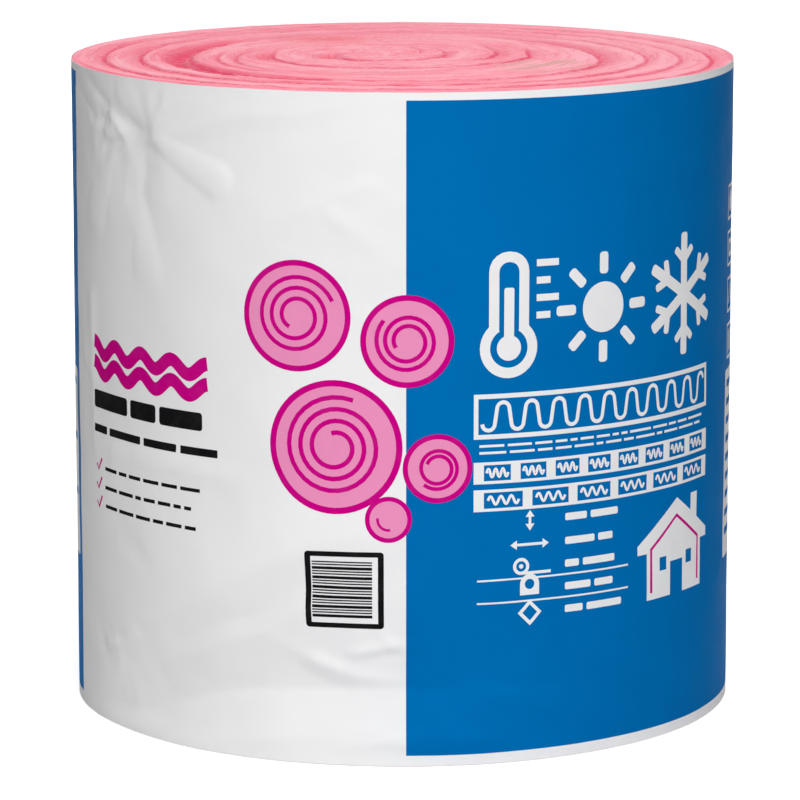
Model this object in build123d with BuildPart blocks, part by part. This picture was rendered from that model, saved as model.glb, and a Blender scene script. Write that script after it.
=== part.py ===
from build123d import *
from math import cos, degrees, radians, sin
import os

os.makedirs("parts", exist_ok=True)

# Driving dimensions in millimetres, angles in degrees
# The origin is the centre of the lower end, +Z is up and the printed front faces -Y

# Blanket of glass wool, rolled up and standing on its end
blanket_width = 584.2
blanket_radius = 298.0

# Turns of the blanket, drawn tight outside and looser towards the core
outer_pitch = 31.0
outer_turns = 3
inner_pitch = 44.0
core_radius = 50.0

# Outer end of the blanket, whose crevice runs out through the rim at the left
tail_angle = 190.0

# Rim where the film draws the outermost turn in
rim_round = 4.0

# Shoulder on each turn's edge, where the squeezed wool bulges out of the end
shoulder_round = 15.0
shoulder_sweep = 51.0

# Film sleeve drawn tight round the blanket, with its lap at the back
film_gauge = 0.5
film_inset = 2.0
lap_width = 50.0
lap_angle = 55.0

# Clear space past the blanket's faces where its crevices are drawn open
cut_clearance = 5.0
spiral_clearance = 0.5

# Sizes that follow from those above
shoulder_reach = shoulder_round * sin(radians(shoulder_sweep))
crevice_depth = shoulder_round * (1 - cos(radians(shoulder_sweep)))
spiral_radius = blanket_radius + shoulder_reach + spiral_clearance
spiral_angle = tail_angle - 360 * (spiral_radius - blanket_radius) / outer_pitch
film_radius = blanket_radius + film_gauge


def shoulder_arc(edge_x, face_z, side, outward):
    """Arc from a turn's flat end down to the bottom of the crevice beside it, at edge_x."""
    crown_x = edge_x - side * shoulder_reach
    middle_sweep = radians(shoulder_sweep / 2)
    middle_x = crown_x + side * shoulder_round * sin(middle_sweep)
    middle_z = face_z - outward * shoulder_round * (1 - cos(middle_sweep))
    return ThreePointArc((crown_x, face_z), (middle_x, middle_z), (edge_x, face_z - outward * crevice_depth))


def crevice_half(centre_x, face_z, side, outward):
    """Half of a crevice's section, from its deepest line to the crown on the given side."""
    clear_z = face_z + outward * cut_clearance
    with BuildSketch() as section:
        with BuildLine():
            arc = shoulder_arc(centre_x, face_z, -side, outward)
            Polyline(arc @ 0, ((arc @ 0).X, clear_z), (centre_x, clear_z), arc @ 1)
        make_face()
    return section.sketch


def crevice_section(centre_x):
    """Section of the crevice between two turns on both ends, open past the end faces."""
    with BuildSketch() as section:
        for face_z, outward in ((blanket_width, 1), (0, -1)):
            for side in (-1, 1):
                add(crevice_half(centre_x, face_z, side, outward))
    return section.sketch


# Rolled blanket, a turned solid whose ends show the edge of the blanket as a spiral
with BuildPart() as wool_blanket:
    with BuildSketch():
        Circle(blanket_radius)
    extrude(amount=blanket_width)
    fillet(wool_blanket.edges().filter_by(GeomType.CIRCLE), rim_round)

    # The crevice winds inwards as half turns, each about its own centre, from outside the rim
    start_way = Vector(1, 0, 0).rotate(Axis.Z, spiral_angle)
    start_radius = spiral_radius
    centre = Vector(0, 0, 0)
    half_turn = 0
    while start_radius > core_radius:
        pitch = outer_pitch if half_turn < 2 * outer_turns else inner_pitch
        with BuildSketch(Plane(origin=centre, x_dir=start_way, z_dir=start_way.rotate(Axis.Z, -90))):
            add(crevice_section(start_radius))
        revolve(axis=Axis(centre, (0, 0, 1)), revolution_arc=180, mode=Mode.SUBTRACT, clean=False)
        crevice_end = centre - start_way * start_radius
        start_way = -start_way
        start_radius -= pitch / 2
        centre += start_way * (pitch / 2)
        half_turn += 1

    # It stops at the core in a round dimple
    for face_z, outward in ((blanket_width, 1), (0, -1)):
        with BuildSketch(Plane(origin=crevice_end, x_dir=(1, 0, 0), z_dir=(0, -1, 0))):
            add(crevice_half(0, face_z, 1, outward))
        revolve(axis=Axis(crevice_end, (0, 0, 1)), mode=Mode.SUBTRACT, clean=False)

wool_blanket.part.label = "wool_blanket"
export_step(wool_blanket.part, "parts/wool_blanket.step")

# Film sleeve, one wrap of printed film whose edges lap over each other
with BuildPart() as film_sleeve:
    lap_sweep = degrees(lap_width / film_radius)
    with BuildSketch(Plane.XY.offset(film_inset)):
        Circle(film_radius)
        with BuildLine():
            lap = CenterArc((0, 0), film_radius + film_gauge, lap_angle - lap_sweep / 2, lap_sweep)
            Polyline(lap @ 1, (0, 0), lap @ 0)
        make_face()
        Circle(blanket_radius, mode=Mode.SUBTRACT)
    extrude(amount=blanket_width - 2 * film_inset)

film_sleeve.part.label = "film_sleeve"
export_step(film_sleeve.part, "parts/film_sleeve.step")
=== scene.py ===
import math

import bmesh
import bpy
import numpy as np
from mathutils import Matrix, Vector, noise
from mathutils.geometry import delaunay_2d_cdt


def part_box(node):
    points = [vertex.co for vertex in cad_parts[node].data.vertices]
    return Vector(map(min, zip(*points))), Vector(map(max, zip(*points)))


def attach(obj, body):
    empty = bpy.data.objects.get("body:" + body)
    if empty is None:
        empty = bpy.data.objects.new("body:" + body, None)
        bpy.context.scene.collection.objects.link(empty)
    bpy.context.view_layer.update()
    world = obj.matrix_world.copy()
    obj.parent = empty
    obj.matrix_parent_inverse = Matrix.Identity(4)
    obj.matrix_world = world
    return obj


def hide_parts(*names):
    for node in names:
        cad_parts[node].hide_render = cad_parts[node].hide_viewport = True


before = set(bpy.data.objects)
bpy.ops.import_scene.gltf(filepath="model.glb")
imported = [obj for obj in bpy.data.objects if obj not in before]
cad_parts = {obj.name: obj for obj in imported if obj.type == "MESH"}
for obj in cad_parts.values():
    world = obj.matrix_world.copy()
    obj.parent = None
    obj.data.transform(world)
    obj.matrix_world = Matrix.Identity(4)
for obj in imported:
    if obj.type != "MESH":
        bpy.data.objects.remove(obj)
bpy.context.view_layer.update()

# Camera
# It stands about four metres in front of the roll, a metre up, and looks down by ten degrees,
# so the wound end shows as a flat ellipse above the printed film.
camera_place = (-0.0022, -4.0742, 1.0167)
camera_look_down = 10.43
lens_length = 203.48
sensor_width = 36.0


def placed(name, data):
    """Object in the scene, made of a mesh, a lamp or a camera's lens."""
    thing = bpy.data.objects.new(name, data)
    bpy.context.collection.objects.link(thing)
    return thing


camera_lens = bpy.data.cameras.new("camera")
camera_lens.sensor_width = sensor_width
camera_lens.lens = lens_length
camera = placed("camera", camera_lens)
camera.location = camera_place
camera.rotation_euler = (math.radians(90.0 - camera_look_down), 0.0, 0.0)
bpy.context.scene.camera = camera

# Floor and surroundings
# A plain pale floor that carries the roll's soft shadow and runs out to white, as in a studio
# where product pictures are taken. The camera and reflections see the same white all round it.
floor_half = 20.0
floor_tone_near = 0.78
floor_tone_far = 0.5
floor_lift_near = 0.55
floor_lift_far = 1.0
shadow_reach = 1.3
room_glow = 0.17
blanket_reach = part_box("wool_blanket")[1][0]


def feed(tree, socket, source):
    """Link a socket to another node's output, or set it to a plain value."""
    if isinstance(source, bpy.types.NodeSocket):
        tree.links.new(source, socket)
    else:
        socket.default_value = source


def worked_out(tree, operation, *sources):
    """Result of one sum or comparison."""
    node = tree.nodes.new("ShaderNodeMath")
    node.operation = operation
    for socket, source in zip(node.inputs, sources):
        feed(tree, socket, source)
    return node.outputs[0]


def ramped(tree, source, low, high, to_low=0.0, to_high=1.0):
    """Value spread from one range to another and held at its ends."""
    node = tree.nodes.new("ShaderNodeMapRange")
    node.inputs["From Min"].default_value = low
    node.inputs["From Max"].default_value = high
    node.inputs["To Min"].default_value = to_low
    node.inputs["To Max"].default_value = to_high
    tree.links.new(source, node.inputs["Value"])
    return node.outputs[0]


def seen_directly(tree):
    """One where a ray comes straight from the camera, a reflection or a clear surface, else zero."""
    path = tree.nodes.new("ShaderNodeLightPath")
    reflected = worked_out(tree, "MAXIMUM", path.outputs["Is Camera Ray"], path.outputs["Is Glossy Ray"])
    return worked_out(tree, "MAXIMUM", reflected, path.outputs["Is Transmission Ray"])


floor_paint = bpy.data.materials.new("studio floor")
floor_paint.use_nodes = True
tree = floor_paint.node_tree
tree.nodes.clear()
matt = tree.nodes.new("ShaderNodeBsdfDiffuse")
own_light = tree.nodes.new("ShaderNodeEmission")
floor_place = tree.nodes.new("ShaderNodeTexCoord")
away = tree.nodes.new("ShaderNodeVectorMath")
away.operation = "LENGTH"
tree.links.new(floor_place.outputs["Object"], away.inputs[0])

# Both change outwards from the roll's foot to the end of its shadow
shadow = (away.outputs["Value"], blanket_reach, shadow_reach)
floor_tone = ramped(tree, *shadow, floor_tone_near, floor_tone_far)
floor_lift = ramped(tree, *shadow, floor_lift_near, floor_lift_far)
tree.links.new(floor_tone, matt.inputs["Color"])
tree.links.new(worked_out(tree, "MULTIPLY", seen_directly(tree), floor_lift), own_light.inputs["Strength"])
both = tree.nodes.new("ShaderNodeAddShader")
tree.links.new(matt.outputs[0], both.inputs[0])
tree.links.new(own_light.outputs[0], both.inputs[1])
tree.links.new(both.outputs[0], tree.nodes.new("ShaderNodeOutputMaterial").inputs["Surface"])

floor_mesh = bpy.data.meshes.new("floor")
floor_corners = [(floor_half * x, floor_half * y, 0) for x, y in ((-1, -1), (1, -1), (1, 1), (-1, 1))]
floor_mesh.from_pydata(floor_corners, [], [(0, 1, 2, 3)])
floor_mesh.materials.append(floor_paint)
floor = placed("floor", floor_mesh)

surroundings = bpy.data.worlds.new("studio")
surroundings.use_nodes = True
tree = surroundings.node_tree
tree.nodes.clear()
glow = tree.nodes.new("ShaderNodeBackground")
glow.inputs["Strength"].default_value = room_glow
white = tree.nodes.new("ShaderNodeBackground")
white.inputs["Strength"].default_value = 1.0
chosen = tree.nodes.new("ShaderNodeMixShader")
tree.links.new(seen_directly(tree), chosen.inputs["Fac"])
tree.links.new(glow.outputs[0], chosen.inputs[1])
tree.links.new(white.outputs[0], chosen.inputs[2])
tree.links.new(chosen.outputs[0], tree.nodes.new("ShaderNodeOutputWorld").inputs["Surface"])
bpy.context.scene.world = surroundings
bpy.context.scene.view_settings.view_transform = "Standard"

# Studio lamps
# A broad soft lamp hangs above the camera, a smaller one over the roll lights its wound end, and
# one behind shows the back as plainly as the front.
roll_middle = Vector((0.0, 0.0, 0.3))


def soft_lamp(name, place, size, power):
    """Square soft box at a place, turned to the roll's middle."""
    lamp = bpy.data.lights.new(name, "AREA")
    lamp.size = size
    lamp.energy = power
    holder = placed(name, lamp)
    holder.location = place
    holder.rotation_euler = (roll_middle - Vector(place)).to_track_quat("-Z", "Y").to_euler()


soft_lamp("front lamp", (0.1, -3.7, 2.8), 2.0, 141.0)
soft_lamp("top lamp", (0.3, -0.1, 3.4), 1.6, 32.0)
soft_lamp("back lamp", (0.0, 4.6, 1.9), 2.4, 118.0)

# Wound blanket of glass wool
# One long blanket of pink glass wool, rolled up on itself and squeezed by its sleeve. Both ends
# show its edge as a spiral of soft crowned turns, tight outside and looser round the core.
mm = 0.001
blanket_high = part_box("wool_blanket")[1]
roll_height = blanket_high[2] / mm
roll_radius = blanket_high[0] / mm
film_gauge = 0.3

# The film stops this far inside the roll's two faces
film_top_gap = 0.2
film_foot = 0.8

# Rim of each end as heights from its face and places against the film's outside: the wool fills the
# film out to its edge and rounds off just inside it
rim_profile = [(0.0, -3.4), (0.15, -2.2), (0.5, -1.1), (1.1, -0.5), (2.2, -0.4), (5.0, -0.5)]
foot_profile = [(0.0, -4.2), (0.3, -2.6), (1.0, -1.4), (2.2, -0.9)]

# Crevices between the turns on the upper end, each as points of angle in degrees, counter-clockwise
# from the roll's right, distance from its middle and depth. Past 360 degrees a line winds on inwards.
main_spiral = [
    (185, 297, 0), (210, 293, 5), (240, 291, 7), (270, 289, 8), (300, 290, 8), (330, 287, 9),
    (360, 277, 10), (390, 270, 7), (430, 269, 5), (480, 272, 6), (510, 272, 8), (540, 269, 11),
    (580, 265, 9), (630, 261, 8), (675, 256, 8), (720, 250, 5.5), (750, 244.5, 5), (790, 242, 6),
    (840, 243, 7), (870, 240, 10), (900, 236, 13), (930, 237, 10), (965, 232, 9), (1020, 228, 9),
    (1060, 224, 7), (1095, 215, 5.5), (1125, 212, 6), (1170, 207, 10), (1200, 199, 15), (1240, 192, 20),
    (1270, 191, 19), (1300, 193, 14), (1350, 193, 13), (1395, 189, 16), (1440, 177.5, 22),
    (1470, 173, 18), (1490, 178, 14), (1515, 193, 0),
]
inner_crevices = [
    [(165, 160, 0), (180, 166, 5), (195, 169, 6), (210, 172, 5), (240, 173, 0)],
    [(150, 140, 0), (165, 144, 5), (185, 150, 6), (210, 158, 4), (235, 160, 0)],
    [(160, 120, 0), (180, 117, 11), (210, 111.5, 9), (240, 106, 7), (265, 98, 6), (298, 95, 6),
     (333, 100, 8), (360, 114, 11), (375, 118, 10), (385, 126, 5), (392, 132, 0)],
    [(325, 69, 0), (348, 78, 8), (362, 81, 9), (375, 88, 8), (390, 97, 7), (405, 110, 4), (415, 119, 0)],
    [(172, 66, 0), (182, 57, 12), (195, 55, 10), (210, 52, 8), (235, 40, 7), (270, 30, 6), (330, 30, 6),
     (360, 35, 9), (385, 42, 7), (400, 50, 6), (415, 62, 5), (430, 75, 4), (450, 92, 0)],
    [(55, 26, 0), (60, 31, 5), (74, 55, 6), (87, 75, 4), (98, 88, 0)],
    [(60, 122, 0), (95, 134, 0), (120, 150, 0)],
]

# The squeezed wool meets again below a crevice, so even a deep one stays open to little more than this
crevice_opening = 3.4

# Open hollows, where the turns stand apart: angles, distances to both walls, depth
hollows = [
    ((122, 170, 226, 258), (196, 193, 190, 196), (204, 216, 214, 204), 9),
    ((163, 176, 186, 196), (122, 118, 117, 118), (126, 134, 136, 128), 7),
    ((150, 172, 188, 205), (66, 57, 55, 60), (70, 78, 76, 66), 7),
]


def eased(share):
    """Share from zero to one that starts and ends gently."""
    return share * share * (3 - 2 * share)


def smooth_line(points, at, column):
    """Smooth curve through one column of a line's points, read at the given angles."""
    table = np.array(points, dtype=float)
    angle, value = table[:, 0], table[:, column]
    slope = np.gradient(value, angle)
    left = np.clip(np.searchsorted(angle, at) - 1, 0, len(angle) - 2)
    span = angle[left + 1] - angle[left]
    t = np.clip((at - angle[left]) / span, 0.0, 1.0)
    start = value[left] * (1 + 2 * t) * (1 - t) ** 2 + slope[left] * span * t * (1 - t) ** 2
    return start + value[left + 1] * t * t * (3 - 2 * t) + slope[left + 1] * span * t * t * (t - 1)


def end_drop(angle, radius):
    """How far the end lies below its crowns in millimetres, and how much painted shade darkens its pink in
    the crevices and hollows, from zero to one.
    """
    drop = np.zeros_like(radius)
    shade = np.zeros_like(radius)
    for points in [main_spiral, *inner_crevices]:
        for turn in range(int(points[0][0] // 360), int(points[-1][0] // 360) + 1):
            at = angle + 360.0 * turn
            inside = (at >= points[0][0]) & (at <= points[-1][0])
            if not inside.any():
                continue
            line = smooth_line(points, at, 1)
            depth = np.where(inside, np.maximum(smooth_line(points, at, 2), 0.0), 0.0)
            off = radius - line
            reach = np.where(off < 0, 3.5 + 0.25 * depth, 10.0 + 0.6 * depth)
            away = np.clip(np.abs(off) / reach, 0.0, 1.0)
            drop = np.maximum(drop, crevice_opening * (1.0 - np.exp(-depth / 8.0)) * (1.0 - away) ** 2)
            # Painted shade: a dark line on each crevice and a softer shade spreading over the turn outside
            # it
            strength = np.clip(depth / 9.0, 0.0, 1.0) ** 0.7
            core = np.clip(1.5 - 1.5 * np.abs(off) / np.where(off < 0, 3.2, 4.4), 0.0, 1.0)
            outer_side = np.where(off > 0, np.clip(1.0 - off / (9.0 + 1.1 * depth), 0.0, 1.0), 0.0)
            soft_shade = (0.5 + depth / 70.0) * outer_side ** 1.3
            shade = np.maximum(shade, strength * np.maximum(core, soft_shade))
    for angles, near, far, depth in hollows:
        low = np.interp(angle, angles, near)
        high = np.interp(angle, angles, far)
        fade = np.clip((angle - angles[0]) / 20.0, 0, 1) * np.clip((angles[-1] - angle) / 20.0, 0, 1)
        middle = (low + high) / 2
        half = (high - low) / 2
        away = np.clip((np.abs(radius - middle) - 0.35 * half) / (0.65 * half + 6.0), 0.0, 1.0)
        drop = np.maximum(drop, depth * fade * (1.0 - away) ** 1.6)
        # Painted shade in the hollows, deepest at their middle
        shade = np.maximum(shade, fade * (1.0 - away) ** 0.8)
    return drop, shade


def turn_centre(radius):
    """Middle of the turns at a distance out, because the core sits left of the roll's axis and behind it."""
    share = eased(np.clip((190.0 - radius) / 90.0, 0.0, 1.0))
    return -18.0 * share, 20.0 * share


def soft_noise(across, along, up, seed):
    """Smooth noise from minus one to one over arrays of coordinates."""
    places = zip(across.ravel(), along.ravel(), up.ravel())
    return np.array([noise.noise(Vector((x + seed, y, z))) for x, y, z in places]).reshape(across.shape)


# The film's outer side stands half a millimetre off the wool's plain round
film_radius = roll_radius + 0.5
film_round = 2 * math.pi * film_radius

# Creases and dents of the film, which the squeezed wool under it follows. Each runs through places on
# the unrolled film, as millimetres right of its front, up from its foot and out of its plain round,
# and fades over one width on its left and another on its right.
creases = [
    ([(-248, 538, -0.6), (-290, 548, -1.2), (-318, 559, -1.3), (-366, 582, -0.9)], 6, 9),
    ([(-307, 554, -0.9), (-343, 546, -1.1), (-397, 568, -0.5)], 7, 11),
    ([(-280, 531, -1.6), (-313, 519, -0.8)], 8, 6),
    ([(-307, 554, 1.4), (-280, 530, 1.6)], 9, 5),
    ([(-253, 530, -1.4), (-252, 505, -2.6), (-257, 483, -2.7), (-248, 469, -2.1), (-239, 450, -1.3),
      (-236, 430, -0.3)], 30, 25),
    ([(-241, 542, 0.8), (-244, 566, 1.2), (-252, 586, 0.8)], 18, 12),
    ([(-236, 546, 1.4), (-222, 573, 2.2), (-190, 584, 1.4)], 10, 26),
    ([(-230, 533, 2.0), (-195, 546, 1.8), (-139, 560, 1.4), (-89, 564, 1.0), (-33, 575, 0.3)], 34, 14),
    ([(-350, 380, 1.6), (-345, 250, 1.0)], 16, 16),
    ([(-372, 330, 1.6), (-330, 300, 0.6)], 10, 12),
    ([(-307, 249, 1.2), (-210, 253, 2.2), (-117, 245, 0.6)], 8, 16),
    ([(-330, 70, 0.8), (-271, 98, 5.0), (-166, 149, 8.0), (-99, 184, 7.0), (-58, 198, 4.2),
      (10, 205, 0.5)], 70, 34),
    ([(-240, 66, 0.5), (-195, 84, 3.8), (-160, 101, 4.8), (-125, 113, 4.0), (-80, 138, 2.4),
      (-40, 160, 0.4)], 18, 38),
    ([(-330, 2, -3.0), (-284, 14, -7.5), (-233, 34, -11.5), (-181, 50, -13.0), (-130, 61, -13.0),
      (-78, 65, -12.5), (2, 68, -10.0), (70, 66, -3.5)], 78, 42),
    ([(-78, 91, 3.0), (-40, 78, 3.6), (-6, 74, 1.0)], 10, 16),
    ([(-42, 98, 2.4), (-12, 105, 3.4), (8, 104, 0.8)], 10, 7),
    ([(-24, 121, 0.6), (-8, 107, 1.8)], 8, 8),
    ([(-120, 112, 0.6), (-60, 84, 1.6)], 10, 16),
    ([(-317, 74, 1.8), (-295, 77, 2.2), (-268, 90, 0.8)], 9, 9),
    ([(-300, 175, 0.6), (-267, 167, -1.8), (-250, 158, -0.6)], 9, 12),
    ([(-60, 478, 1.0), (-6, 440, 0.6)], 14, 12),
    ([(-120, 470, 0.5), (-30, 505, 0.9)], 12, 18),
    ([(-40, 395, 0.9), (0, 384, 0.3)], 10, 10),
    ([(-130, 450, 0.3), (-60, 432, 0.8), (0, 436, 0.3)], 12, 16),
    ([(20, 196, 1.2), (130, 110, 1.6)], 20, 24),
    ([(60, 66, 1.8), (220, 22, 1.0)], 18, 26),
    ([(160, 100, 1.2), (300, 36, 1.6)], 18, 24),
    ([(230, 520, 0.6), (330, 500, 1.0)], 16, 24),
    ([(-30, 30, 0.8), (70, 20, 1.6)], 12, 14),
    ([(-60, 14, 0.8), (-10, 22, 1.8), (40, 12, 0.8)], 8, 10),
]

# More of them lie over the back
crease_dice = np.random.default_rng(11)
for _ in range(34):
    middle = np.array([crease_dice.uniform(600, 1350), crease_dice.uniform(40, 545)])
    lean = math.radians(crease_dice.normal(0, 32))
    half = crease_dice.uniform(25, 95) * np.array([math.cos(lean), math.sin(lean)])
    lift = crease_dice.uniform(1.0, 3.2) * crease_dice.choice([-1, 1], p=[0.3, 0.7])
    line = [(*(middle - half), 0.3 * lift), (*middle, lift), (*(middle + half), 0.2 * lift)]
    creases.append((line, crease_dice.uniform(8, 26), crease_dice.uniform(8, 26)))

# Bulges between the creases, which grow from one place to another and end round: places, half width, lift
bulges = [
    ((-244, 536), (-153, 497), 20, 2.7), ((-276, 533), (-318, 538), 15, 2.0),
    ((-350, 541), (-303, 543), 9, -2.4), ((-250, 540), (-292, 584), 20, 1.8),
    ((-262, 470), (-246, 400), 26, 1.4), ((-300, 520), (-350, 440), 26, 1.6),
    ((-10, 500), (-60, 400), 40, 0.9), ((690, 380), (640, 470), 24, 2.6),
    ((690, 380), (780, 420), 20, 2.8), ((1190, 200), (1120, 150), 24, 2.4),
    ((1190, 200), (1270, 170), 18, 2.6),
]

# Zones where the film lies crumpled in small folds: place, half width, half height and how deep
crumpled = [
    (-300, 530, 90, 60, 2.4), (-390, 300, 50, 260, 0.8), (-300, 60, 90, 60, 2.0), (-120, 70, 120, 40, 1.4),
    (-230, 235, 150, 45, 1.4), (40, 90, 160, 70, 1.2), (470, 300, 70, 290, 0.6), (700, 440, 150, 120, 3.6),
    (900, 120, 160, 90, 3.0), (1120, 500, 200, 70, 2.4), (1230, 240, 160, 90, 2.4), (-20, 480, 130, 60, 1.2),
]


def round_off(arc, place):
    """How far round the roll a place lies, by the shorter way."""
    return (arc - place + film_round / 2) % film_round - film_round / 2


def crease_height(line, left_width, right_width, arc, height):
    """Height of a crease at places on the unrolled film, sharp on its line and wider on one side."""
    nearest = np.full_like(arc, film_round)
    ridge = np.zeros_like(arc)
    left = np.zeros_like(arc, dtype=bool)
    for start, end in zip(line[:-1], line[1:]):
        run_x, run_y = end[0] - start[0], end[1] - start[1]
        length = math.hypot(run_x, run_y)
        off, up = round_off(arc, start[0]), height - start[1]
        share = np.clip((off * run_x + up * run_y) / length ** 2, 0.0, 1.0)
        off, up = off - share * run_x, up - share * run_y
        gap = np.hypot(off, up)
        closer = gap < nearest
        nearest = np.where(closer, gap, nearest)
        ridge = np.where(closer, start[2] + share * (end[2] - start[2]), ridge)
        left = np.where(closer, up * run_x - off * run_y > 0, left)
    away = nearest / np.where(left, left_width, right_width)
    return ridge * np.clip(1.0 - away, 0.0, 1.0) ** 1.2


def bulge_height(start, end, half_width, lift, arc, height):
    """Height of a round-ended bulge, soft where it starts and steep along its edge."""
    run_x, run_y = end[0] - start[0], end[1] - start[1]
    length = math.hypot(run_x, run_y)
    off, up = round_off(arc, start[0]), height - start[1]
    along = (off * run_x + up * run_y) / length
    across = (up * run_x - off * run_y) / length
    share = np.clip(along / length, 0.0, 1.0)
    past_end = np.maximum(along - length + half_width, 0.0) / half_width
    edge = np.hypot(across / (half_width * (0.3 + 0.7 * share)), past_end)
    return lift * share ** 0.7 * np.clip(1.0 - edge ** 2.4, 0.0, 1.0) ** 0.75


def round_way(arc, scale):
    """Place round the roll for noise that closes on itself."""
    sweep = arc / film_radius
    return scale * np.cos(sweep), scale * np.sin(sweep)


def film_wave(arc, height):
    """How far the film stands off its plain round at places on the unrolled film, in millimetres."""
    wave = 1.3 * soft_noise(*round_way(arc, 2.6), height / 150.0, 3.0)
    wave += 0.5 * soft_noise(*round_way(arc, 7.0), height / 60.0, 9.0)
    # It lies plainer at the roll's left and right sides
    off_sides = np.clip(np.abs(np.abs(round_off(arc, 0.0)) - film_round / 4) / 130.0, 0.0, 1.0)
    wave *= 0.25 + 0.75 * off_sides
    fold = 0.30 - np.abs(soft_noise(*round_way(arc, 6.5), height / 52.0, 21.0))
    small = 0.25 - np.abs(soft_noise(*round_way(arc, 14.0), height / 24.0, 33.0))
    zone = np.full_like(wave, 0.35)
    for x, y, wide, high, deep in crumpled:
        reach = np.hypot(round_off(arc, x) / wide, (height - y) / high)
        zone = np.maximum(zone, deep * np.clip(1.35 - reach, 0.0, 1.0))
    wave += zone * (fold + 0.35 * small) * (0.4 + 0.6 * off_sides)
    for line, left_width, right_width in creases:
        wave += crease_height(line, left_width, right_width, arc, height)
    for start, end, half_width, lift in bulges:
        wave += bulge_height(start, end, half_width, lift, arc, height)
    tight = np.clip(np.minimum(height - 2.0, roll_height - 2.0 - height) / 20.0, 0.0, 1.0)
    return wave * (0.35 + 0.65 * eased(tight))


# Grid of the blanket's skin: rings out over the upper end, round the rim, down under the film and in again
columns = 300
angle = np.arange(columns) * 360.0 / columns
arc_at = ((angle - 270.0 + 180.0) % 360.0 - 180.0) * math.pi / 180.0 * film_radius


def blanket_side(height):
    """Radius of the blanket under the film at one height, for every column."""
    slack = 0.7 + 2.3 * np.clip(min(height, roll_height - height) / 40.0, 0.0, 1.0)
    waves = []
    for off in (-5.0, 0.0, 5.0):
        for up in (-10.0, 0.0, 10.0):
            waves.append(film_wave(arc_at + off, np.full(columns, height + up)))
    return film_radius - film_gauge - slack + np.minimum.reduce(waves)


def end_rings(face, outward, rows, rim_inset, depth_share):
    """Rings of one end from its middle to the start of its rim, with the painted shade of their crevices."""
    share = np.linspace(0.0, 1.0, rows + 1)[1:, None]
    radius = share * (film_radius + film_wave(arc_at, np.full(columns, face)) + rim_inset)[None, :]
    sweep = np.broadcast_to(angle, radius.shape)
    drop, shade = end_drop(sweep, radius)
    drop *= depth_share
    x = radius * np.cos(np.radians(sweep))
    y = radius * np.sin(np.radians(sweep))
    settle = 0.9 - 0.9 * soft_noise(x / 26.0, y / 26.0, np.full_like(x, face), 5.0)
    settle += 0.35 - 0.35 * soft_noise(x / 6.0, y / 6.0, np.full_like(x, face), 8.0)
    if outward < 0:
        settle *= 0.5
    away = np.clip((radius - roll_radius + 16.0) / 10.0, 0.0, 1.0)
    z = face - outward * (drop + settle * (1 - away))
    return np.stack([x, y, z], axis=-1), shade


def ring_at(height, radius):
    """Level ring of points round the roll."""
    return np.stack([radius * np.cos(np.radians(angle)), radius * np.sin(np.radians(angle)),
                     np.full(columns, height)], axis=-1)


upper_rows = 192
lower_rows = 58
lower_depth_share = 0.6
side_spaces = 25
upper, upper_shade = end_rings(roll_height, 1, upper_rows, rim_profile[0][1], 1.0)
lower, lower_shade = end_rings(0.0, -1, lower_rows, foot_profile[0][1], lower_depth_share)
rim_wave = film_wave(arc_at, np.full(columns, roll_height))
foot_wave = film_wave(arc_at, np.zeros(columns))
sides = [ring_at(roll_height - below, film_radius + rim_wave + stand) for below, stand in rim_profile[1:]]
for level in np.linspace(roll_height, 0.0, side_spaces + 1)[1:-1]:
    sides.append(ring_at(level, blanket_side(level)))
for above, stand in foot_profile[:0:-1]:
    sides.append(ring_at(above, film_radius + foot_wave + stand))
rings = [*upper, *sides]
shades = [*upper_shade, *np.zeros((len(sides), columns))]
rings.extend(lower[::-1])
shades.extend(lower_shade[::-1])


def closed_skin(name, rings, first, last):
    """Mesh of rings of points, closed by a fan at both ends."""
    count = len(rings)
    points = np.concatenate([first[None, :], np.concatenate(rings), last[None, :]]) * mm
    column = np.arange(columns)
    onward = (column + 1) % columns
    quads = []
    for ring in range(count - 1):
        here, there = 1 + ring * columns, 1 + (ring + 1) * columns
        quads.append(np.stack([here + column, there + column, there + onward, here + onward], axis=-1))
    end = 1 + (count - 1) * columns
    first_fan = np.stack([np.zeros_like(column), 1 + column, 1 + onward], axis=-1)
    last_fan = np.stack([np.full_like(column, len(points) - 1), end + onward, end + column], axis=-1)
    faces = [*np.concatenate(quads).tolist(), *first_fan.tolist(), *last_fan.tolist()]
    mesh = bpy.data.meshes.new(name)
    mesh.from_pydata(points.tolist(), [], faces)
    mesh.shade_smooth()
    return mesh


top_middle = np.array([0.0, 0.0, upper[0, :, 2].mean()])
foot_middle = np.array([0.0, 0.0, lower[0, :, 2].mean()])
blanket_mesh = closed_skin("wool_blanket_wound", rings, top_middle, foot_middle)

# Every point keeps where it lies in the turns, for the wool's grain, and how much painted shade darkens its
# pink in the crevices
points = np.empty(len(blanket_mesh.vertices) * 3)
blanket_mesh.vertices.foreach_get("co", points)
points = points.reshape(-1, 3) / mm
out = np.hypot(points[:, 0], points[:, 1])
middle_x, middle_y = turn_centre(out)
from_x, from_y = points[:, 0] - middle_x, points[:, 1] - middle_y
turn_out = np.maximum(np.hypot(from_x, from_y), 0.01)
lay = np.stack([from_x / turn_out * 0.2, from_y / turn_out * 0.2, turn_out * mm], axis=-1)
blanket_mesh.attributes.new("lay", "FLOAT_VECTOR", "POINT").data.foreach_set("vector", lay.ravel())
painted_crevice_shade = np.concatenate([[0.0], np.concatenate(shades), [0.0]])
blanket_mesh.attributes.new("painted_crevice_shade", "FLOAT", "POINT").data.foreach_set("value", painted_crevice_shade)


def spot(x, y, wide, deep):
    """Soft patch on the upper end, round a place in plan."""
    reach = np.sqrt(((points[:, 0] - x) / wide) ** 2 + ((points[:, 1] - y) / deep) ** 2)
    return np.clip(1.0 - reach, 0.0, 1.0) * (points[:, 2] > roll_height / 2)


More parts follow.
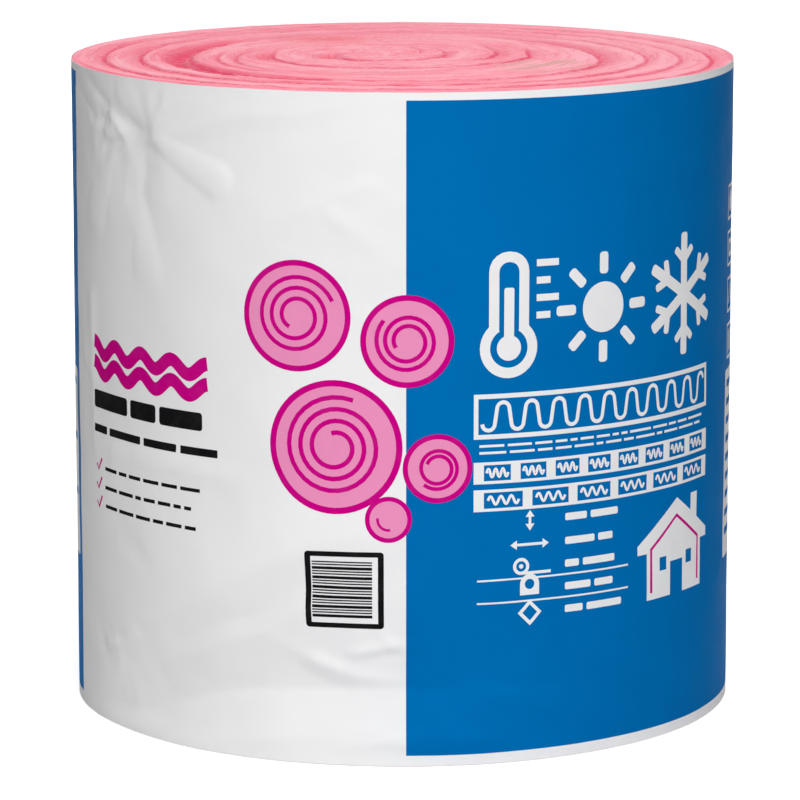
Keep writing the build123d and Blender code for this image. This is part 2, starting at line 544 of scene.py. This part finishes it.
patches = {
    # Beige dust streaks at the front right, and a thin greyish arc at the front that is the painted shade of
    # a fold
    "dust_and_fold_shade": 1.7 * spot(132, -84, 62, 74) + 0.7 * spot(-2, -138, 60, 16),
    # Painted shadow: a soft reddish patch at the back left of the upper end
    "painted_shadow_patch": 1.3 * spot(-70, 145, 60, 40),
    "faded": 1.5 * spot(215, 10, 130, 230),
}
for name, strength in patches.items():
    patch = blanket_mesh.attributes.new(name, "FLOAT", "POINT")
    patch.data.foreach_set("value", np.clip(strength, 0.0, 1.0))


def new_finish(name):
    """New material, its node tree, its surface and the place on its piece."""
    material = bpy.data.materials.new(name)
    material.use_nodes = True
    tree = material.node_tree
    place = tree.nodes.new("ShaderNodeTexCoord").outputs["Object"]
    return material, tree, tree.nodes["Principled BSDF"], place


wool, tree, skin, place = new_finish("pink glass wool")
skin.inputs["Roughness"].default_value = 0.92
skin.inputs["Specular IOR Level"].default_value = 0.04
skin.inputs["Sheen Weight"].default_value = 0.12
skin.inputs["Sheen Tint"].default_value = (1.0, 0.42, 0.48, 1.0)
skin.inputs["Sheen Roughness"].default_value = 0.6


def attribute(tree, name, output="Fac"):
    """Attribute of the piece's own mesh."""
    node = tree.nodes.new("ShaderNodeAttribute")
    node.attribute_name = name
    return node.outputs[output]


def grain(tree, source, scale, stretch=(1, 1, 1), detail=3.0, roughness=0.55):
    """Noise over a stretched coordinate."""
    mapping = tree.nodes.new("ShaderNodeMapping")
    mapping.inputs["Scale"].default_value = stretch
    tree.links.new(source, mapping.inputs["Vector"])
    node = tree.nodes.new("ShaderNodeTexNoise")
    node.inputs["Scale"].default_value = scale
    node.inputs["Detail"].default_value = detail
    node.inputs["Roughness"].default_value = roughness
    tree.links.new(mapping.outputs[0], node.inputs["Vector"])
    return node.outputs["Fac"]


def blended(tree, share, first, second):
    """Colour that goes from the first to the second as the share goes from zero to one."""
    node = tree.nodes.new("ShaderNodeMix")
    node.data_type = "RGBA"
    for socket, source in zip((node.inputs[0], node.inputs[6], node.inputs[7]), (share, first, second)):
        feed(tree, socket, source)
    return node.outputs[2]


def product(tree, first, second):
    """First value times the second."""
    return worked_out(tree, "MULTIPLY", first, second)


def bumped(tree, height, strength, distance, under=None):
    """Normal of a surface with a fine relief, over another where one is given."""
    node = tree.nodes.new("ShaderNodeBump")
    node.inputs["Strength"].default_value = strength
    node.inputs["Distance"].default_value = distance
    tree.links.new(height, node.inputs["Height"])
    if under:
        tree.links.new(under, node.inputs["Normal"])
    return node.outputs[0]


lay_way = attribute(tree, "lay", "Vector")
laminae = grain(tree, lay_way, 1.0, (16, 16, 330), 3.0, 0.6)
bands = grain(tree, lay_way, 1.0, (7, 7, 75), 2.0)
tufts = grain(tree, place, 150.0, detail=4.0)
fibres = grain(tree, place, 900.0, detail=3.0, roughness=0.7)

seam_half_width = 0.011
crown_pink = (0.96, 0.35, 0.43, 1)
mid_pink = (0.93, 0.245, 0.325, 1)
# The next pink is the painted shade of the crevices and hollows
crevice_shade_pink = (0.76, 0.07, 0.155, 1)
pale_pink = (0.97, 0.47, 0.54, 1)
seam_pink = (0.82, 0.13, 0.22, 1)
beige = (0.70, 0.36, 0.33, 1)
shadow_patch_red = (0.86, 0.16, 0.18, 1)
colour = blended(tree, ramped(tree, laminae, 0.40, 0.62), mid_pink, crown_pink)
colour = blended(tree, ramped(tree, bands, 0.42, 0.62, 0.0, 0.75), colour, pale_pink)
colour = blended(tree, product(tree, attribute(tree, "faded"), 0.55), colour, pale_pink)
colour = blended(tree, ramped(tree, tufts, 0.52, 0.8, 0.0, 0.35), colour, mid_pink)
seams = worked_out(tree, "COMPARE", grain(tree, lay_way, 1.0, (5, 5, 62), 2.0, 0.5), 0.5, seam_half_width)
colour = blended(tree, product(tree, seams, 0.42), colour, seam_pink)
streaks = grain(tree, lay_way, 1.0, (9, 9, 150), 3.0, 0.6)
# Real dust streaks and the painted shade of a fold, both in beige
dust_and_shade_share = product(tree, attribute(tree, "dust_and_fold_shade"), ramped(tree, streaks, 0.46, 0.56))
colour = blended(tree, dust_and_shade_share, colour, beige)
# Painted shadow: the reddish patch darkens the pink there
colour = blended(tree, product(tree, attribute(tree, "painted_shadow_patch"), 0.7), colour, shadow_patch_red)
# Painted shade: the pink turns deeper in the crevices and hollows, where shade falls
colour = blended(tree, attribute(tree, "painted_crevice_shade"), colour, crevice_shade_pink)
tree.links.new(colour, skin.inputs["Base Color"])

lamina_relief = bumped(tree, laminae, 0.5, 1.6 * mm)
tree.links.new(bumped(tree, fibres, 0.5, 0.7 * mm, lamina_relief), skin.inputs["Normal"])

blanket_mesh.materials.append(wool)
blanket = placed("wool_blanket_wound", blanket_mesh)
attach(blanket, "root")
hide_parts("wool_blanket")

# Loose fibres
# Glass fibres that the knife pulled up when the blanket was cut to its width. They lie mostly
# along the turns and stand a little off the upper end, thin and paler than the wool below.
fibre_length = 11.0 * mm
fibre_thickness = 0.16 * mm
fibre_density = 19000.0
fibre_tilt = math.radians(9.0)
fibre_stray = math.radians(48.0)
fibre_free_rim = 6.0 * mm
pale_fibre_pink = (0.98, 0.62, 0.66, 1)

fibre_tone, tree, skin, place = new_finish("loose glass fibres")
skin.inputs["Roughness"].default_value = 0.6
skin.inputs["Specular IOR Level"].default_value = 0.15
strands = ramped(tree, grain(tree, place, 220.0, detail=2.0), 0.35, 0.65)
tree.links.new(blended(tree, strands, crown_pink, pale_fibre_pink), skin.inputs["Base Color"])

growth = bpy.data.node_groups.new("loose fibres", "GeometryNodeTree")
growth.interface.new_socket("Geometry", in_out="INPUT", socket_type="NodeSocketGeometry")
for name in ("Density", "Length", "Thickness", "Tilt", "Stray", "Lowest", "Widest"):
    growth.interface.new_socket(name, in_out="INPUT", socket_type="NodeSocketFloat")
growth.interface.new_socket("Geometry", in_out="OUTPUT", socket_type="NodeSocketGeometry")
given = growth.nodes.new("NodeGroupInput").outputs


def step(kind, *sources, **settings):
    """Node of the fibre tree, with its inputs in order taken from sockets or plain values."""
    node = growth.nodes.new(kind)
    for name, value in settings.items():
        setattr(node, name, value)
    for socket, source in zip(node.inputs, sources):
        feed(growth, socket, source)
    return node


def spread(low, high, seed):
    """Random number for each fibre."""
    node = step("FunctionNodeRandomValue", data_type="FLOAT")
    feed(growth, node.inputs[2], low)
    feed(growth, node.inputs[3], high)
    node.inputs["Seed"].default_value = seed
    return node.outputs[1]


skin_place = step("ShaderNodeSeparateXYZ", step("GeometryNodeInputPosition").outputs[0]).outputs
place_in_plan = step("ShaderNodeCombineXYZ", skin_place[0], skin_place[1], 0.0).outputs[0]
out_from_middle = step("ShaderNodeVectorMath", place_in_plan, operation="LENGTH").outputs["Value"]
on_top = worked_out(growth, "GREATER_THAN", skin_place[2], given["Lowest"])
inside_film = worked_out(growth, "LESS_THAN", out_from_middle, given["Widest"])
rooted = product(growth, on_top, inside_film)
roots = step("GeometryNodeDistributePointsOnFaces", given["Geometry"], rooted)
growth.links.new(given["Density"], roots.inputs["Density"])
roots.inputs["Seed"].default_value = 4

bend = step("GeometryNodeCurveQuadraticBezier", 3, (-0.5, 0.0, -0.02), (0.0, 0.22, 0.24), (0.5, 0.0, 0.03))
slenderness = worked_out(growth, "DIVIDE", given["Thickness"], given["Length"])
ring = step("GeometryNodeCurvePrimitiveCircle", 3)
growth.links.new(product(growth, slenderness, 0.5), ring.inputs["Radius"])
fibre = step("GeometryNodeCurveToMesh", bend.outputs[0], ring.outputs[0])
fibre.inputs["Fill Caps"].default_value = True

round_angle = worked_out(growth, "ARCTAN2", skin_place[1], skin_place[0])
along_turn = worked_out(growth, "ADD", round_angle, math.pi / 2)
stray = spread(product(growth, given["Stray"], -1.0), given["Stray"], 1)
tilt = spread(product(growth, given["Tilt"], -1.0), given["Tilt"], 2)
heading = step("ShaderNodeCombineXYZ", 0.0, tilt, worked_out(growth, "ADD", along_turn, stray)).outputs[0]
laid = step("GeometryNodeInstanceOnPoints", roots.outputs[0])
growth.links.new(fibre.outputs[0], laid.inputs["Instance"])
growth.links.new(step("FunctionNodeEulerToRotation", heading).outputs[0], laid.inputs["Rotation"])
growth.links.new(product(growth, given["Length"], spread(0.35, 1.2, 3)), laid.inputs["Scale"])
whole = step("GeometryNodeRealizeInstances", laid.outputs[0]).outputs[0]
painted = step("GeometryNodeSetMaterial", whole)
painted.inputs["Material"].default_value = fibre_tone
growth.links.new(painted.outputs[0], growth.nodes.new("NodeGroupOutput").inputs[0])

bed_mesh = blanket_mesh.copy()
bed = placed("fibre bed", bed_mesh)
grown = bed.modifiers.new("loose fibres", "NODES")
grown.node_group = growth
fibre_sizes = {
    "Density": fibre_density,
    "Length": fibre_length,
    "Thickness": fibre_thickness,
    "Tilt": fibre_tilt,
    "Stray": fibre_stray,
    "Lowest": roll_height / 2 * mm,
    "Widest": roll_radius * mm - fibre_free_rim,
}
for socket in growth.interface.items_tree:
    if socket.in_out == "INPUT" and socket.name in fibre_sizes:
        grown[socket.identifier] = fibre_sizes[socket.name]
fibre_mesh = bpy.data.meshes.new_from_object(bed.evaluated_get(bpy.context.evaluated_depsgraph_get()))
bed.modifiers.remove(grown)
bpy.data.objects.remove(bed)
bpy.data.meshes.remove(bed_mesh)
fibre_mesh.name = "wool_loose_fibres"
fibre_mesh.materials.clear()
fibre_mesh.materials.append(fibre_tone)
fibre_mesh.polygons.foreach_set("material_index", [0] * len(fibre_mesh.polygons))
fibre_mesh.shade_smooth()
fibres_piece = placed("wool_loose_fibres", fibre_mesh)
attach(fibres_piece, "root")

# Film sleeve
# One wrap of white polyethylene film, printed with blue panels, drawn tight round the blanket and
# welded along a lap at the back. It is thin and creases where the wool under it gives.
half_columns = 188
lap_columns = 16
film_columns = 2 * half_columns + lap_columns
film_rows = 124
lap_angle = 145.0
lap_middle = math.radians(lap_angle) * film_radius
lap_rise = 12.0
lap_stand = 1.3
edge_waviness = 0.4

# The film's grid is finer over its creased white parts than over the blue ones, and near its edges
white_left = -404.0
column_marks = ([0.0, 414.0, film_round / 2], [0, 128, half_columns])
row_marks = ([film_foot, 132.0, 466.0, roll_height - film_top_gap], [0, 41, 86, film_rows])


def column_of(arc):
    """Column of the film's grid at a place round the roll."""
    turns, rest = np.divmod(np.asarray(arc) - white_left, film_round / 2)
    return turns * half_columns + np.interp(rest, *column_marks)


def arc_of(column):
    """Place round the roll of a column of the film's grid."""
    turns, rest = np.divmod(column, half_columns)
    return white_left + turns * film_round / 2 + np.interp(rest, *column_marks[::-1])


first_column = round(float(column_of(lap_middle - film_round))) - lap_columns // 2
arc_line = arc_of(first_column + np.arange(film_columns + 1))
row_line = np.interp(np.arange(film_rows + 1), *row_marks[::-1])
arc, height = np.meshgrid(arc_line, row_line, indexing="ij")
lap_arc = arc_line[0] + film_round
over_lap = eased(np.clip((arc - lap_arc) / lap_rise + 1.0, 0.0, 1.0))
edge_wave = edge_waviness * (1.0 + soft_noise(*round_way(arc, 9.0), np.full_like(arc, 7.0), 4.0))
height = height - edge_wave * np.clip((height - roll_height) / 20.0 + 1.0, 0.0, 1.0)
stand = film_radius + film_wave(arc, height) + lap_stand * over_lap
sweep = arc / film_radius - math.pi / 2
film_out = np.stack([stand * np.cos(sweep), stand * np.sin(sweep), height], axis=-1)
film_normal = np.cross(np.gradient(film_out, axis=0), np.gradient(film_out, axis=1))
film_normal /= np.linalg.norm(film_normal, axis=-1, keepdims=True)
film_in = film_out - film_gauge * film_normal

across, up = film_columns + 1, film_rows + 1
outer = np.arange(across * up).reshape(across, up)
inner = outer + across * up


def grid_faces(grid, flip):
    """Quads of a grid of points. Both ways start at one corner, so both skins bend on one diagonal."""
    quads = np.stack([grid[:-1, :-1], grid[1:, :-1], grid[1:, 1:], grid[:-1, 1:]], axis=-1).reshape(-1, 4)
    return quads[:, [0, 3, 2, 1]] if flip else quads


film_faces = [grid_faces(outer, False), grid_faces(inner, True)]
for low, high in ((outer[:, 0], inner[:, 0]), (inner[:, -1], outer[:, -1])):
    film_faces.append(np.stack([low[1:], low[:-1], high[:-1], high[1:]], axis=-1))
for low, high in ((outer[0, :], inner[0, :]), (inner[-1, :], outer[-1, :])):
    film_faces.append(np.stack([low[:-1], low[1:], high[1:], high[:-1]], axis=-1))
film_faces = np.concatenate(film_faces)
film_points = np.concatenate([film_out.reshape(-1, 3), film_in.reshape(-1, 3)]) * mm
sleeve_mesh = bpy.data.meshes.new("film_sleeve_drawn")
sleeve_mesh.from_pydata(film_points.tolist(), [], film_faces.tolist())
sleeve_mesh.shade_smooth()
sleeve_mesh.set_sharp_from_angle(angle=math.radians(60.0))
sheet_place = np.stack([np.tile(arc.ravel(), 2), np.tile(height.ravel(), 2)], axis=-1) * mm
print_uv = sleeve_mesh.uv_layers.new(name="print")
print_uv.data.foreach_set("uv", sheet_place[film_faces.ravel()].ravel())

panel_left = 3.0 * mm
panel_width = 535.0 * mm
panel_low = 10.0 * mm
panel_high = 577.0 * mm
sheet_white = (0.90, 0.90, 0.905, 1)
hazy_white = (0.85, 0.85, 0.86, 1)
panel_blue = (0.0, 0.15, 0.44, 1)
hazy_blue = (0.0, 0.165, 0.48, 1)

film, tree, skin, place = new_finish("printed sleeve film")
skin.inputs["IOR"].default_value = 1.03
sheet = tree.nodes.new("ShaderNodeUVMap")
sheet.uv_map = "print"
split = tree.nodes.new("ShaderNodeSeparateXYZ")
tree.links.new(sheet.outputs[0], split.inputs[0])
from_panel = worked_out(tree, "SUBTRACT", split.outputs["X"], panel_left)
across_panel = worked_out(tree, "FLOORED_MODULO", from_panel, film_round / 2 * mm)
in_panel = worked_out(tree, "LESS_THAN", across_panel, panel_width)
in_panel = product(tree, in_panel, worked_out(tree, "GREATER_THAN", split.outputs["Y"], panel_low))
in_panel = product(tree, in_panel, worked_out(tree, "LESS_THAN", split.outputs["Y"], panel_high))
haze = ramped(tree, grain(tree, place, 9.0, detail=3.0), 0.35, 0.65, 0.0, 0.5)
white_tone = blended(tree, haze, sheet_white, hazy_white)
blue_tone = blended(tree, haze, panel_blue, hazy_blue)
tree.links.new(blended(tree, in_panel, white_tone, blue_tone), skin.inputs["Base Color"])
tree.links.new(ramped(tree, grain(tree, place, 30.0), 0.3, 0.7, 0.40, 0.52), skin.inputs["Roughness"])
crinkle = grain(tree, place, 42.0, (1, 1, 1.5), 3.0, 0.5)
tree.links.new(bumped(tree, crinkle, 0.22, 1.5 * mm), skin.inputs["Normal"])

sleeve_mesh.materials.append(film)
sleeve = placed("film_sleeve_drawn", sleeve_mesh)
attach(sleeve, "root")
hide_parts("film_sleeve")

# Printing on the film
# Flat inks laid on the sleeve, the same every half turn: pale pictograms on the blue panel, and a
# pink design of wound coils across its edge. Shapes are in millimetres right of the front and up.
# Each covers what lies under it in its group, and one called bare leaves the film open.
ink_stand = 0.12


def disc(x, y, radius, sides=40):
    """Round shape."""
    sweep = np.linspace(0, 2 * math.pi, sides, False)
    return [(x + radius * math.cos(t), y + radius * math.sin(t)) for t in sweep]


def block(left, right, low, high, corner=0.0):
    """Upright rectangle, with its corners rounded where a radius is given."""
    if not corner:
        return [(left, low), (right, low), (right, high), (left, high)]
    shape = []
    for x, y, first in ((right - corner, low + corner, 270), (right - corner, high - corner, 0),
                        (left + corner, high - corner, 90), (left + corner, low + corner, 180)):
        for t in np.radians(np.linspace(first, first + 90, 6)):
            shape.append((x + corner * math.cos(t), y + corner * math.sin(t)))
    return shape


def stroke(path, width):
    """Line of even width along a path that doesn't cross itself."""
    path = np.array(path, dtype=float)
    way = np.gradient(path, axis=0)
    way /= np.linalg.norm(way, axis=1, keepdims=True)
    side = np.stack([-way[:, 1], way[:, 0]], axis=-1) * width / 2
    return [tuple(p) for p in np.concatenate([path + side, (path - side)[::-1]])]


def coil(x, y, radius, width, turns, lean=0.0):
    """Stack of shapes that shows the end of a wound coil."""
    sweep = np.linspace(0.0, 2 * math.pi * turns, int(30 * turns))
    reach = np.linspace(radius - 2.6 * width, 2.2 * width, len(sweep))
    path = np.stack([x + reach * np.cos(sweep + lean), y + reach * np.sin(sweep + lean)], axis=-1)
    return [("magenta", disc(x, y, radius, 64)), ("pink", disc(x, y, radius - width, 64)),
            ("magenta", stroke(path, 0.75 * width))]


def turned(shape, x, y, degrees):
    """Shape turned about a place."""
    c, s = math.cos(math.radians(degrees)), math.sin(math.radians(degrees))
    return [(x + (a - x) * c - (b - y) * s, y + (a - x) * s + (b - y) * c) for a, b in shape]


coils = coil(-92, 392, 48, 5.0, 2.6, 0.4)
coils += coil(4, 372, 40, 5.0, 2.2, 2.4)
coils += coil(-58, 280, 58, 5.5, 3.1, 1.2)
coils += coil(30, 262, 30, 4.5, 1.8, 4.0)
coils += coil(-12, 218, 20, 4.0, 1.3, 3.0)
print_groups = [coils]

# Sun, snowflake and thermometer at the head of the blue panel
sun = [("white", disc(184, 393, 22, 40))]
for ray in range(8):
    sun.append(("white", turned(block(179.5, 188.5, 422, 441, 3.0), 184, 393, 45 * ray)))
flake = []
for arm in range(6):
    flake.append(("white", turned(block(284, 294, 393, 447, 3.0), 289, 393, 60 * arm)))
    for lean in (-50, 50):
        twig = turned(block(285.5, 292.5, 422, 440, 2.5), 289, 422, lean)
        flake.append(("white", turned(twig, 289, 393, 60 * arm)))
gauge = [("white", block(74, 110, 362, 447, 17.0)), ("white", disc(92, 364, 26, 40))]
gauge += [("bare", block(83, 101, 372, 438, 8.5)), ("bare", disc(92, 364, 17, 36))]
gauge += [("white", block(87.5, 96.5, 366, 416, 2.0)), ("white", disc(92, 364, 11, 30))]
for mark in range(4):
    gauge.append(("white", block(117, 138 if mark % 2 else 130, 388 + 15 * mark, 394 + 15 * mark)))
print_groups += [gauge, sun, flake]

# Strip of batt with the wool's loops in it, broken rules below and two wall sections with wool in them
batt = [("white", block(61, 335, 286, 325)), ("bare", block(65, 331, 290, 321))]
loop = []
for bow in range(20):
    x = 74 + 13.05 * bow
    up_way = 1 if bow % 2 else -1
    for t in np.radians(np.linspace(180, 0, 9)):
        loop.append((x + 5.6 * math.cos(t), 305.5 + up_way * (6.4 + 5.6 * math.sin(t))))
batt.append(("white", stroke(loop, 3.4)))
print_groups.append(batt)

rules = []
rule_dice = np.random.default_rng(5)
for level in (280.0, 274.0):
    x = 66.0
    while x < 318:
        run = rule_dice.uniform(6, 26)
        rules.append(("white", block(x, min(x + run, 330), level - 1.1, level + 1.1)))
        x += run + 3.2
print_groups.append(rules)

wall_left, wall_right, plate_thick, stud_width = 61, 335, 2.6, 9
stud_run = wall_right - wall_left - stud_width
section = []
for low, high, studs in ((247, 266, 8), (223, 242, 6)):
    for bottom, top in ((high - plate_thick, high), (low, low + plate_thick)):
        section.append(("white", block(wall_left, wall_right, bottom, top)))
    for stud in range(studs + 1):
        x = wall_left + stud * stud_run / studs
        section.append(("white", block(x, x + stud_width, low, high)))
    for stud in range(studs):
        x = wall_left + (stud + 0.5) * stud_run / studs + stud_width / 2
        bay = stud_run / studs - stud_width
        middle = (low + high) / 2
        share = np.linspace(0, 1, 37)
        wave_height = middle + 3.6 * np.sin(6 * math.pi * share)
        wave_place = x + 0.8 * bay * (share - 0.5)
        section.append(("white", stroke(np.stack([wave_place, wave_height], axis=-1), 2.4)))
print_groups.append(section)


def arrow(x, y, length, degrees):
    """Double arrow on a place, for a size."""
    shapes = [block(x - length / 2 + 4, x + length / 2 - 4, y - 1.2, y + 1.2)]
    for end in (-1, 1):
        tip, back = x + end * length / 2, x + end * (length / 2 - 6)
        shapes.append([(tip, y), (back, y + 4.2), (back, y - 4.2)])
    return [("white", turned(shape, x, y, degrees)) for shape in shapes]


table = arrow(112, 213, 18, 90) + arrow(112, 192, 36, 0)
table += [("white", disc(104, 173, 7.5, 28)), ("bare", disc(104, 173, 4.6, 24))]
table += [("white", disc(104, 173, 2.0, 16)), ("white", block(104, 132, 165.6, 168.2))]
table += [("white", disc(112, 157, 9, 28)), ("white", block(103, 121, 147.5, 157))]
table += [("bare", disc(112, 157, 4.5, 20)), ("white", turned(block(104, 120, 124, 140), 112, 132, 45))]
table += [("bare", turned(block(107, 117, 127, 137), 112, 132, 45))]
for level, runs in ((213, (22, 30)), (192, (30, 16)), (172, (14, 34)), (152, (26, 20)), (132, (18, 38))):
    x = 146.0
    for run in runs:
        table.append(("white", block(x, x + run, level - 3.2, level + 3.2, 1.5)))
        x += run + 4
for level in (162.5, 142.5):
    table.append(("white", block(64, 214, level - 0.8, level + 0.8)))
print_groups.append(table)

# House with its lining drawn in
gable = [(226, 176), (282, 212), (338, 176), (338, 168), (326, 168)]
gable += [(326, 126), (238, 126), (238, 168), (226, 168)]
lining = [(244, 132), (244, 171), (282, 196), (320, 171), (320, 132)]
house = [("white", gable), ("white", block(306, 318, 186, 212)), ("magenta", stroke(lining, 3.2))]
house += [("bare", block(272, 292, 126, 156))]
house += [("bare", block(left, left + 10, 150, 162)) for left in (256, 298)]
print_groups.append(house)

# Panel of plain bars on the white
bars = [("black", block(-84, -16, 121.5, 189.5, 3.0)), ("bare", block(-79, -21, 126, 185))]
level = 131.0
for _ in range(6):
    for thick, gap in ((2.6, 1.8), (1.2, 1.6), (1.2, 1.4)):
        bars.append(("black", block(-78, -26, level, level + thick)))
        level += thick + gap * 0.72
print_groups.append(bars)

# Two waves, plain bars and short dashes with ticks
title = []
for centre in (338, 320):
    across_title = np.linspace(-343, -178, 97)
    crest = centre + 5.5 * np.cos((across_title + 343) / 165 * 8 * math.pi)
    title.append(("magenta", stroke(np.stack([across_title, crest], axis=-1), 12.0)))
for left, right in ((-343, -282), (-277, -240), (-235, -184)):
    title.append(("black", block(left, right, 284, 300, 3.0)))
for left, right in ((-343, -318), (-313, -262), (-257, -214), (-209, -168)):
    title.append(("black", block(left, right, 262, 269, 1.0)))
tick_dice = np.random.default_rng(9)
for level in (231, 214, 197):
    title.append(("magenta", stroke([(-341, level + 2), (-337, level - 3), (-329, level + 8)], 2.4)))
    x = -322.0
    while x < -196:
        run = tick_dice.uniform(8, 24)
        title.append(("black", block(x, x + run, level - 1.6, level + 1.6)))
        x += run + 4
print_groups.append(title)

# Four pictograms in frames at the panel's side, over a table of bars
strip = []
for level in (458, 416, 374, 332):
    strip.append(("white", block(404, 436, level - 16, level + 16)))
    strip.append(("bare", block(406.5, 433.5, level - 13.5, level + 13.5)))
strip += [("white", disc(420, 455, 7, 28)), ("white", [(412, 459), (428, 459), (420, 471)])]
strip += [("white", block(411, 429, 408, 424)), ("bare", block(415, 425, 412, 420))]
strip += [("white", stroke([(410, 366), (420, 384), (430, 366)], 3.0))]
strip += [("white", block(left, left + 4, 322, 342)) for left in (410, 418, 426)]
strip += [("white", block(396, 526, 134, 307, 4.0))]
for row in range(9):
    strip.append(("blue", block(404, 518 - 22 * (row % 3), 290 - 17 * row, 297 - 17 * row)))
print_groups.append(strip)

inks = {
    "white": ("print_white", (0.88, 0.88, 0.89, 1)),
    "pink": ("print_pink", (0.86, 0.29, 0.52, 1)),
    "magenta": ("print_magenta", (0.60, 0.0, 0.235, 1)),
    "black": ("print_black", (0.008, 0.008, 0.009, 1)),
    "blue": ("print_blue", panel_blue),
}


# In steps of the film's grid: points of the cut inks that lie nearer are one, and a point this near
# to a grid line counts as on it
same_place = 1e-5
on_line = 1e-6


def on_lattice(shape):
    """Counter-clockwise shape in columns and rows of the film's own grid."""
    x, y = np.array(shape, dtype=float).T
    area = np.sum(x * np.roll(y, -1) - np.roll(x, -1) * y)
    places = [Vector(place) for place in zip(column_of(x) - first_column, np.interp(y, *row_marks))]
    return places if area > 0 else places[::-1]


def cut_to_film(group):
    """Triangles of a group's visible ink, cut along the film's columns, rows and diagonals."""
    points, outlines = [], []
    for ink, shape in group:
        outlines.append(list(range(len(points), len(points) + len(shape))))
        points.extend(on_lattice(shape))
    corners, _, faces, _, _, owners = delaunay_2d_cdt(points, [], outlines, 1, same_place)
    flat = bmesh.new()
    made = [flat.verts.new((p.x, p.y, 0.0)) for p in corners]
    names = list(inks)
    for face, owner in zip(faces, owners):
        ink = group[max(owner)][0] if owner else "bare"
        if ink != "bare":
            flat.faces.new([made[i] for i in face]).material_index = names.index(ink)
    left, right = min(p.x for p in points), max(p.x for p in points)
    low, high = min(p.y for p in points), max(p.y for p in points)
    cuts = [((i, 0, 0), (1, 0, 0)) for i in range(math.ceil(left), math.floor(right) + 1)]
    cuts += [((0, i, 0), (0, 1, 0)) for i in range(math.ceil(low), math.floor(high) + 1)]
    cuts += [((i, 0, 0), (1, -1, 0)) for i in range(math.ceil(left - high), math.floor(right - low) + 1)]
    for place, way in cuts:
        everything = [*flat.verts, *flat.edges, *flat.faces]
        bmesh.ops.bisect_plane(flat, geom=everything, dist=same_place, plane_co=place, plane_no=way)
    bmesh.ops.triangulate(flat, faces=flat.faces)
    flat.verts.index_update()
    lattice = np.array([v.co[:2] for v in flat.verts])
    triangles = {name: [] for name in names}
    for face in flat.faces:
        triangles[names[face.material_index]].append([v.index for v in face.verts])
    flat.free()
    return lattice, triangles


def onto_film(lattice, shift):
    """Places of lattice points on the film's skin, a little proud of it."""
    x = lattice[:, 0] + shift
    if x.min() < lap_columns * 0.5:
        x = x + 2 * half_columns
    if x.max() > film_columns:
        x = x - 2 * half_columns
    column = np.clip(np.floor(x + on_line).astype(int), 0, film_columns - 1)
    row = np.clip(np.floor(lattice[:, 1] + on_line).astype(int), 0, film_rows - 1)
    u, v = (x - column)[:, None], (lattice[:, 1] - row)[:, None]
    places = []
    for field in (film_out, film_normal):
        p00, p10 = field[column, row], field[column + 1, row]
        p01, p11 = field[column, row + 1], field[column + 1, row + 1]
        below = p00 + u * (p10 - p00) + v * (p11 - p10)
        above = p00 + v * (p01 - p00) + u * (p11 - p01)
        places.append(np.where(u >= v, below, above))
    return places[0] + ink_stand * places[1]


ink_points = {name: [] for name in inks}
ink_faces = {name: [] for name in inks}
for group in print_groups:
    lattice, triangles = cut_to_film(group)
    for shift in (0, half_columns):
        skin_points = onto_film(lattice, shift) * mm
        for name, faces in triangles.items():
            if not faces:
                continue
            faces = np.array(faces)
            used, again = np.unique(faces, return_inverse=True)
            base = sum(len(p) for p in ink_points[name])
            ink_points[name].append(skin_points[used])
            ink_faces[name].append(again.reshape(faces.shape) + base)

for name, (piece_name, tone) in inks.items():
    if not ink_faces[name]:
        continue
    paint, tree, skin, place = new_finish(piece_name.replace("_", " "))
    skin.inputs["IOR"].default_value = 1.03
    thin = (*(0.86 * share + 0.03 for share in tone[:3]), 1)
    worn = ramped(tree, grain(tree, place, 60.0, detail=4.0), 0.45, 0.75, 0.0, 0.3)
    tree.links.new(blended(tree, worn, tone, thin), skin.inputs["Base Color"])
    tree.links.new(ramped(tree, grain(tree, place, 30.0), 0.3, 0.7, 0.42, 0.55), skin.inputs["Roughness"])
    mesh = bpy.data.meshes.new(piece_name)
    mesh.from_pydata(np.concatenate(ink_points[name]).tolist(), [], np.concatenate(ink_faces[name]).tolist())
    mesh.shade_smooth()
    mesh.materials.append(paint)
    piece = placed(piece_name, mesh)
    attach(piece, "root")
